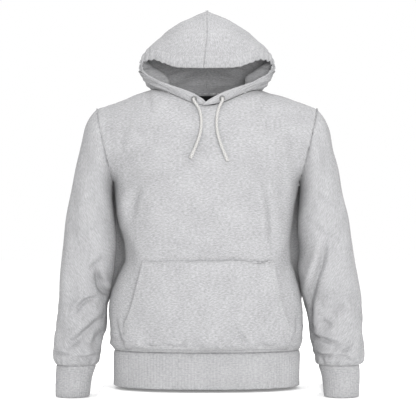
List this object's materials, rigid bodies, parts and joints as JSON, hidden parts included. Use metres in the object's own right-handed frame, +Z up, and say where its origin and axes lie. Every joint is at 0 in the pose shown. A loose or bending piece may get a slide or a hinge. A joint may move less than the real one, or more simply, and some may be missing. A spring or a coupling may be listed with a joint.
{
  "type": "pullover hoodie",
  "caption": "Grey fleece pullover hoodie, filled out as when worn, with open neck, face opening, hem and cuffs, a kangaroo pocket and free drawcord ends.",
  "frame": {"origin": "midway between the two points where a shoulder seam meets the neck, where the wearer's shoulders carry the garment", "axes": "+Z up towards the hood, the chest faces -Y, and the wearer's left is +X"},
  "size_m": [0.7155, 0.263, 0.89],
  "materials": {
    "fleece": "heather grey brushed jersey, matt, with fine mottled fibres",
    "rib_knit": "heather grey rib knit, matt",
    "cord_braid": "pale braided cotton cord and thread",
    "label_tape": "plain black woven tape"
  },
  "bodies": {
    "root": {"front_body": "fleece", "back_body": "fleece", "sleeve_left": "fleece", "sleeve_right": "fleece", "hood_left": "fleece", "hood_right": "fleece", "kangaroo_pocket": "fleece", "hem_band": "rib_knit", "cuff_left": "rib_knit", "cuff_right": "rib_knit", "neck_label": "label_tape", "eyelet_left": "cord_braid", "eyelet_right": "cord_braid", "drawcord_left": "cord_braid", "drawcord_right": "cord_braid"}
  },
  "joints": []
}
